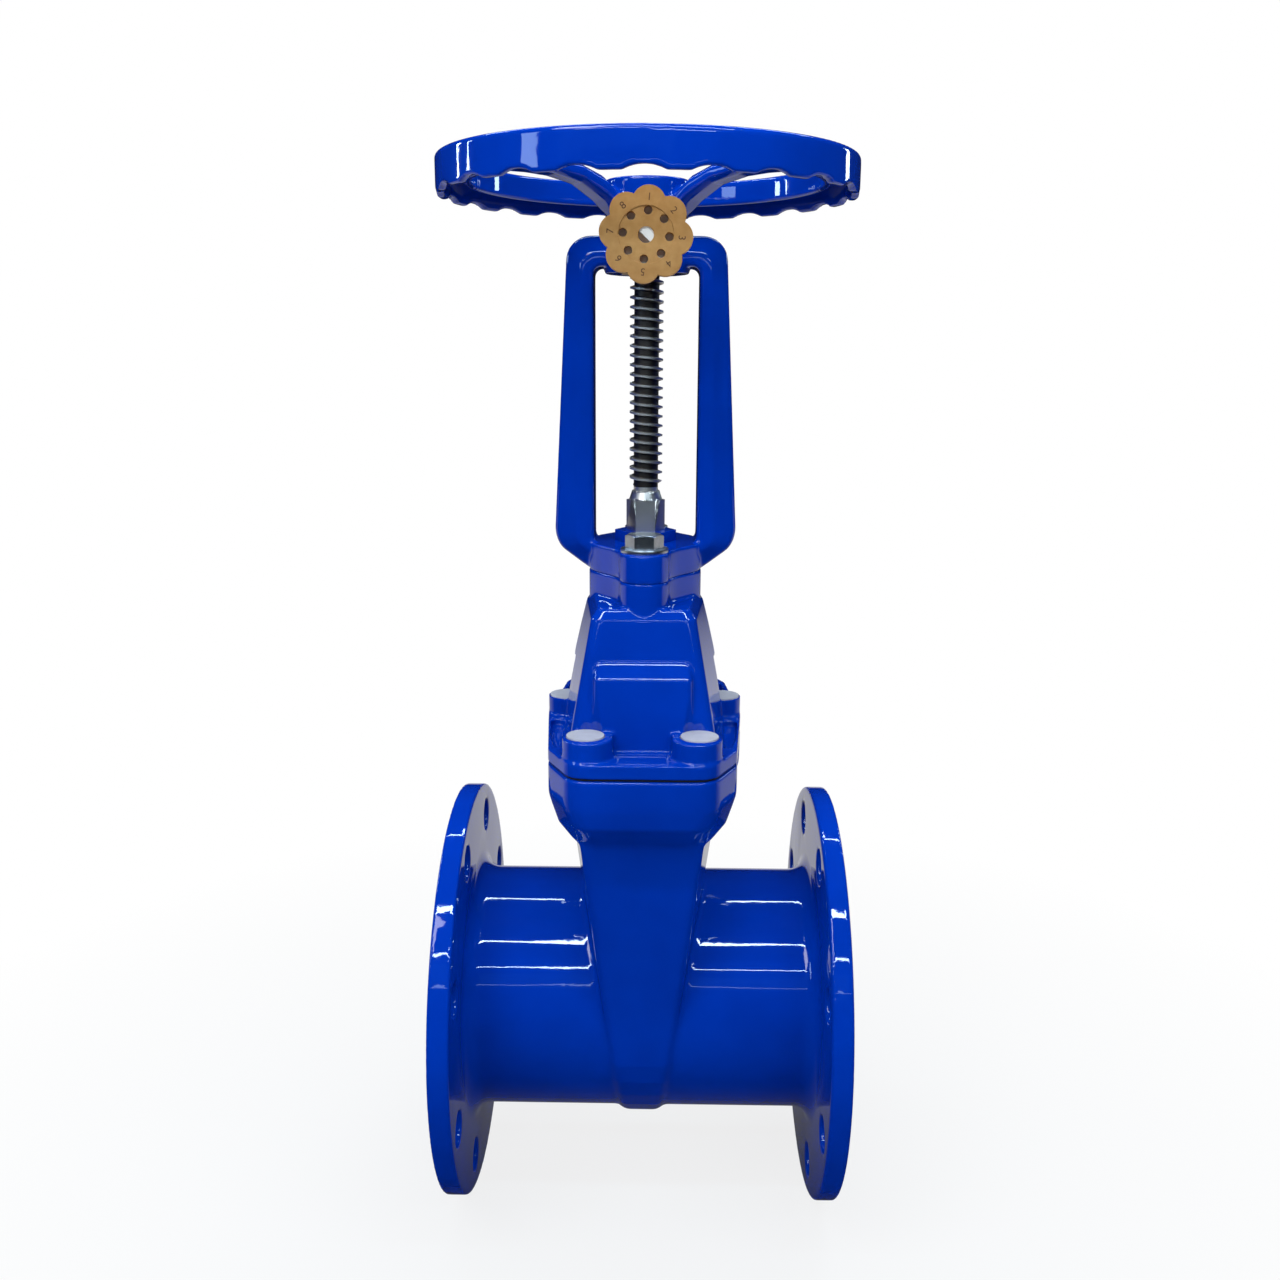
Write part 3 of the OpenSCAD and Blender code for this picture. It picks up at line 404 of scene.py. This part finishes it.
def screw_stem():
    """The stem with its left-handed screw thread: a smooth shank below, thin ridges above."""
    lead, chamfer = 6 * MM, 1.5 * MM
    start_z, top_z = THREAD_Z, stem_high.z
    core_r, crest_r = 8 * MM, (stem_high.x - stem_low.x) / 2
    sides = 64
    # One turn's ridge, seen along the stem: share of the lead, and rise from core (0) to crest (1)
    ridge = [(0.0, 0), (0.26, 0), (0.36, 0.7), (0.40, 1), (0.60, 1), (0.64, 0.7), (0.74, 0)]
    run_in_length = 0.6 * lead
    turns = math.ceil((top_z - start_z) / lead) + 2

    def corner(row, side):
        turn, place = divmod(row, len(ridge))
        along, rise = ridge[place]
        z = start_z + (turn - 1 + along - side / sides) * lead
        run_in = min(1, max(0, (z - start_z) / run_in_length))
        z = min(max(z, start_z), top_z)
        r = min(core_r + (crest_r - core_r) * rise * run_in, crest_r - chamfer + (top_z - z))
        angle = 2 * math.pi * side / sides
        return STEM_X + r * math.cos(angle), r * math.sin(angle), z

    rows = range(turns * len(ridge) + 1)
    points = [corner(row, side) for row in rows for side in range(sides)]
    faces = []
    for row in rows[len(ridge):-1]:
        for side in range(sides):
            # past the last side, a row carries on as the row one turn lower
            after = (row - len(ridge)) * sides if side == sides - 1 else row * sides + side + 1
            faces.append((row * sides + side, after, after + sides, (row + 1) * sides + side))
    foot = len(points)
    for z in (stem_low.z, start_z):
        points += [(STEM_X + core_r * math.cos(2 * math.pi * side / sides),
                    core_r * math.sin(2 * math.pi * side / sides), z) for side in range(sides)]
    for side in range(sides):
        after = (side + 1) % sides
        faces.append((foot + side, foot + after, foot + sides + after, foot + sides + side))
    faces.append(tuple(range(foot + sides - 1, foot - 1, -1)))
    faces.append(tuple(range((len(rows) - 1) * sides, len(rows) * sides)))
    mesh = bpy.data.meshes.new("screw_stem")
    mesh.from_pydata(points, [], faces)
    work = bmesh.new()
    work.from_mesh(mesh)
    bmesh.ops.remove_doubles(work, verts=work.verts, dist=0.001 * MM)
    bmesh.ops.recalc_face_normals(work, faces=work.faces)
    work.to_mesh(mesh)
    work.free()
    mesh.shade_smooth()
    mesh.set_sharp_from_angle(angle=SCREW_EDGE)
    piece = new_piece("screw_stem", mesh, "stem", SCREW)
    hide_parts("stem")


def knob_figures():
    """Plain figures 1 to 8 round the knob's face, one on each lobe, with their tops outwards."""
    low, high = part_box("lock_knob")
    centre = Vector(((low.x + high.x) / 2, low.y, (low.z + high.z) / 2))
    lobes, ring_r = 8, 21 * MM
    figure_h, paint_t = 6 * MM, 0.06 * MM
    turned = math.radians(-5)
    work = bmesh.new()
    for i in range(lobes):
        curve = bpy.data.curves.new("figure", "FONT")
        curve.body = str(i + 1)
        curve.size = figure_h
        curve.align_x = "CENTER"
        curve.align_y = "CENTER"
        curve.extrude = paint_t
        text = bpy.data.objects.new("figure", curve)
        bpy.context.scene.collection.objects.link(text)
        graph = bpy.context.evaluated_depsgraph_get()
        mesh = bpy.data.meshes.new_from_object(text.evaluated_get(graph))
        angle = math.pi / 2 - i * 2 * math.pi / lobes + turned
        place = (Matrix.Translation(centre) @ Matrix.Rotation(math.pi / 2, 4, "X")
                 @ Matrix.Rotation(angle - math.pi / 2, 4, "Z")
                 @ Matrix.Translation((0, ring_r, 0)))
        mesh.transform(place)
        work.from_mesh(mesh)
        bpy.data.objects.remove(text)
    mesh = bpy.data.meshes.new("knob_figures")
    work.to_mesh(mesh)
    work.free()
    new_piece("knob_figures", mesh, "lock_knob", INK)


# node, body, grid mm, passes all over, passes in corners, kept edge mm, fillet mm, triangles
cast_skin("body", "valve", 1.3, 3, 12, 3, 6, 140000)
cast_skin("bonnet", "valve", 0.75, 4, 14, 2.5, 4, 120000)
cast_skin("yoke", "valve", 0.9, 5, 16, 3.5, 6, 90000)
cast_skin("handwheel", "handwheel", 0.9, 5, 10, 3, 4, 150000)
for node in ("gland_nut", "cover_ring"):
    dress(node, ENAMEL, 0.5)
dress("lock_spindle", SPINDLE_LIGHTENED)
for node in ("stem_guide", "handwheel_nut", "lower_thrust_washer", "upper_thrust_washer"):
    dress(node, STEEL)
for end in ("front", "back"):
    dress("yoke_bolt_" + end, ZINC)
    dress("yoke_washer_" + end, ZINC, 0.3)
for i in range(1, 7):
    dress(f"bonnet_bolt_{i}", ZINC)
    dress(f"sealing_plug_{i}", NYLON, 0.5)
for node in ("wedge", "bonnet_gasket", "packing_ring"):
    dress(node, RUBBER, 0.3)
for node in ("stem_nut", "wedge_nut"):
    dress(node, BRASS)
dress("lock_knob", GOLD, 1.0)
screw_stem()
knob_figures()


# ---- Floor, lamps and camera ----

WHITE = (1, 1, 1, 1)
FLOOR_GREY = "#b4b4b4"
SHINE_GREY = "#0d0d0d"  # what glossy paint sees of the floor in front of the valve
SWEEP = 0.6  # how white the background behind the valve is to glossy paint
COOL = "#cdeaff"  # the tubes' and windows' faintly blue white


def shown(tree, behind):
    """1 for rays that meet the white background: the camera's and glass's, and a shine's behind."""
    rays = add(tree, "ShaderNodeLightPath")
    shine = add(tree, "ShaderNodeMath", {
        0: rays.outputs["Is Glossy Ray"], 1: behind}, operation="MULTIPLY")
    seen = add(tree, "ShaderNodeMath", {
        0: rays.outputs["Is Camera Ray"], 1: rays.outputs["Is Transmission Ray"]},
        operation="MAXIMUM")
    return add(tree, "ShaderNodeMath", {
        0: seen.outputs["Value"], 1: shine.outputs["Value"]}, operation="MAXIMUM").outputs["Value"]


def studio_floor():
    """A wide pale floor that holds the shadow near the valve and fades to white away from it."""
    mesh = bpy.data.meshes.new("studio_floor")
    half, drop = 8.0, 0.2 * MM
    mesh.from_pydata([(-half, -half, 0), (half, -half, 0), (half, half, 0), (-half, half, 0)], [],
                     [(0, 1, 2, 3)])
    floor = bpy.data.objects.new("studio_floor", mesh)
    floor.location = (STEM_X, 0, FLOOR_Z - drop)
    bpy.context.scene.collection.objects.link(floor)
    material, tree, shader = finish("matt_white_floor", FLOOR_GREY, Roughness=0.9, IOR=1.0)
    rays = add(tree, "ShaderNodeLightPath")
    tone = add(tree, "ShaderNodeMix", {
        "Factor": rays.outputs["Is Glossy Ray"], "A": linear(FLOOR_GREY), "B": linear(SHINE_GREY)},
        data_type="RGBA")
    tree.links.new(tone.outputs["Result"], shader.inputs["Base Color"])
    place = add(tree, "ShaderNodeTexCoord")
    split = add(tree, "ShaderNodeSeparateXYZ", {"Vector": place.outputs["Object"]})
    # distances in metres: the sweep grows from under the valve and dies away behind it
    near = add(tree, "ShaderNodeMapRange", {
        "Value": split.outputs["Y"], "From Min": -0.1, "From Max": 0.5})
    behind = add(tree, "ShaderNodeMapRange", {
        "Value": split.outputs["Y"], "From Min": 1.4, "From Max": 3.0,
        "To Min": SWEEP, "To Max": 0.0})
    sweep = add(tree, "ShaderNodeMath", {
        0: near.outputs["Result"], 1: behind.outputs["Result"]}, operation="MULTIPLY")
    away = add(tree, "ShaderNodeVectorMath", {0: place.outputs["Object"]}, operation="LENGTH")
    fade = add(tree, "ShaderNodeMapRange", {
        "Value": away.outputs["Value"], "From Min": 0.15, "From Max": 0.7,
        "To Min": 0.82, "To Max": 1.0})
    amount = add(tree, "ShaderNodeMath", {
        0: fade.outputs["Result"], 1: shown(tree, sweep.outputs["Value"])}, operation="MULTIPLY")
    white = add(tree, "ShaderNodeEmission", {"Color": WHITE, "Strength": 1.0})
    mixed = add(tree, "ShaderNodeMixShader", {
        "Fac": amount.outputs["Value"], 1: shader.outputs["BSDF"], 2: white.outputs["Emission"]})
    tree.links.new(mixed.outputs["Shader"], tree.nodes["Material Output"].inputs["Surface"])
    mesh.materials.append(material)


def studio_world():
    """A dim studio with a white sweep behind the valve: shine is dark in front, white behind."""
    world = bpy.data.worlds.new("studio")
    bpy.context.scene.world = world
    world.use_nodes = True
    tree = world.node_tree
    tree.nodes.clear()
    place = add(tree, "ShaderNodeTexCoord")
    split = add(tree, "ShaderNodeSeparateXYZ", {"Vector": place.outputs["Generated"]})
    # directions, from -1 to 1: the sweep is behind and just below the horizon
    back = add(tree, "ShaderNodeMapRange", {
        "Value": split.outputs["Y"], "From Min": 0.55, "From Max": 0.85})
    low = add(tree, "ShaderNodeMapRange", {
        "Value": split.outputs["Z"], "From Min": -0.25, "From Max": -0.15,
        "To Min": SWEEP, "To Max": 0.0})
    sweep = add(tree, "ShaderNodeMath", {
        0: back.outputs["Result"], 1: low.outputs["Result"]}, operation="MULTIPLY")
    height = add(tree, "ShaderNodeMapRange", {
        "Value": split.outputs["Z"], "From Min": -0.3, "From Max": 0.9,
        "To Min": 0.1, "To Max": 0.5})
    rays = add(tree, "ShaderNodeLightPath")
    dim = add(tree, "ShaderNodeMapRange", {
        "Value": rays.outputs["Is Glossy Ray"], "To Min": 1.0, "To Max": 0.03})
    strength = add(tree, "ShaderNodeMath", {
        0: height.outputs["Result"], 1: dim.outputs["Result"]}, operation="MULTIPLY")
    daylight = (0.95, 0.97, 1, 1)
    soft = add(tree, "ShaderNodeBackground", {
        "Color": daylight, "Strength": strength.outputs["Value"]})
    white = add(tree, "ShaderNodeBackground", {"Color": WHITE, "Strength": 1.0})
    mixed = add(tree, "ShaderNodeMixShader", {
        "Fac": shown(tree, sweep.outputs["Value"]), 1: soft.outputs["Background"],
        2: white.outputs["Background"]})
    add(tree, "ShaderNodeOutputWorld", {"Surface": mixed.outputs["Shader"]})


def lamp(name, elevation, azimuth, reach, width, height, watts, colour="#ffffff", shine=True):
    """A soft rectangular lamp that faces the valve, placed by its angles round the bore's middle.

    The elevation climbs from the front, over the top at 90 degrees, and down to the back. The
    azimuth turns it to the right. A lamp without shine lights the paint but isn't mirrored in it.
    """
    light = bpy.data.lights.new(name, "AREA")
    light.shape = "RECTANGLE"
    light.size = width
    light.size_y = height
    light.energy = watts
    light.color = linear(colour)[:3]
    holder = bpy.data.objects.new(name, light)
    up, round_stem = math.radians(elevation), math.radians(azimuth)
    flat = -math.cos(up) * reach
    offset = Vector((-flat * math.sin(round_stem), flat * math.cos(round_stem),
                     math.sin(up) * reach))
    holder.location = VALVE_MIDDLE + offset
    holder.rotation_euler = (-offset).to_track_quat("-Z", "Y").to_euler()
    holder.visible_glossy = shine
    bpy.context.scene.collection.objects.link(holder)


def studio_lamps():
    """A broad key from the upper left, a fill from the right, and long tubes that draw streaks."""
    # name, elevation, azimuth, reach m, width m, height m, watts, colour
    lamp("key_lamp", 48, -38, 2.1, 0.7, 0.7, 11.5)
    lamp("fill_lamp", 35, 50, 2.1, 0.6, 0.6, 6, shine=False)
    lamp("top_lamp", 88, 0, 2.0, 1.2, 0.5, 9, shine=False)
    lamp("back_fill_lamp", 140, -25, 2.1, 0.7, 0.7, 7, shine=False)
    lamp("tube_back", 112, 0, 1.5, 1.6, 0.045, 7, COOL)
    lamp("tube_high", 65, 0, 1.5, 1.6, 0.055, 12, COOL)
    lamp("tube_middle", 41, 0, 1.5, 1.6, 0.026, 5, COOL)
    lamp("tube_low", 25, 0, 1.5, 1.6, 0.02, 0.5, COOL)
    lamp("far_wall", 29, -15, 2.2, 2.2, 0.5, 1.0, "#4f9be6")
    lamp("window_left", 27, -60, 1.8, 0.28, 0.3, 2.0, "#b8dcff")
    lamp("window_back_left", 27, -103, 1.8, 0.07, 0.3, 1.6, COOL)
    lamp("window_corner_left", 27, -113, 1.8, 0.07, 0.3, 2.4, COOL)
    lamp("window_back_right", 27, 128, 1.8, 0.12, 0.3, 1.6, COOL)


def photographer():
    """The camera stands in front at the height of the yoke's window and looks slightly down."""
    camera = bpy.data.cameras.new("camera")
    camera.sensor_width = 36
    camera.lens = 34.868
    holder = bpy.data.objects.new("camera", camera)
    right_mm, back_mm, up_mm = 9.845, 820.83, 445.54  # from the stem's axis at the bore's height
    pitch, yaw, roll = 0.2278, -0.016, 0.005  # radians
    turn = (Matrix.Rotation(-yaw, 4, "Z") @ Matrix.Rotation(math.pi / 2 - pitch, 4, "X")
            @ Matrix.Rotation(roll, 4, "Z"))
    place = Vector((STEM_X + right_mm * MM, -back_mm * MM, up_mm * MM))
    holder.matrix_world = Matrix.Translation(place) @ turn
    bpy.context.scene.collection.objects.link(holder)
    bpy.context.scene.camera = holder


studio_floor()
studio_world()
studio_lamps()
photographer()
bpy.context.scene.view_settings.view_transform = "Standard"
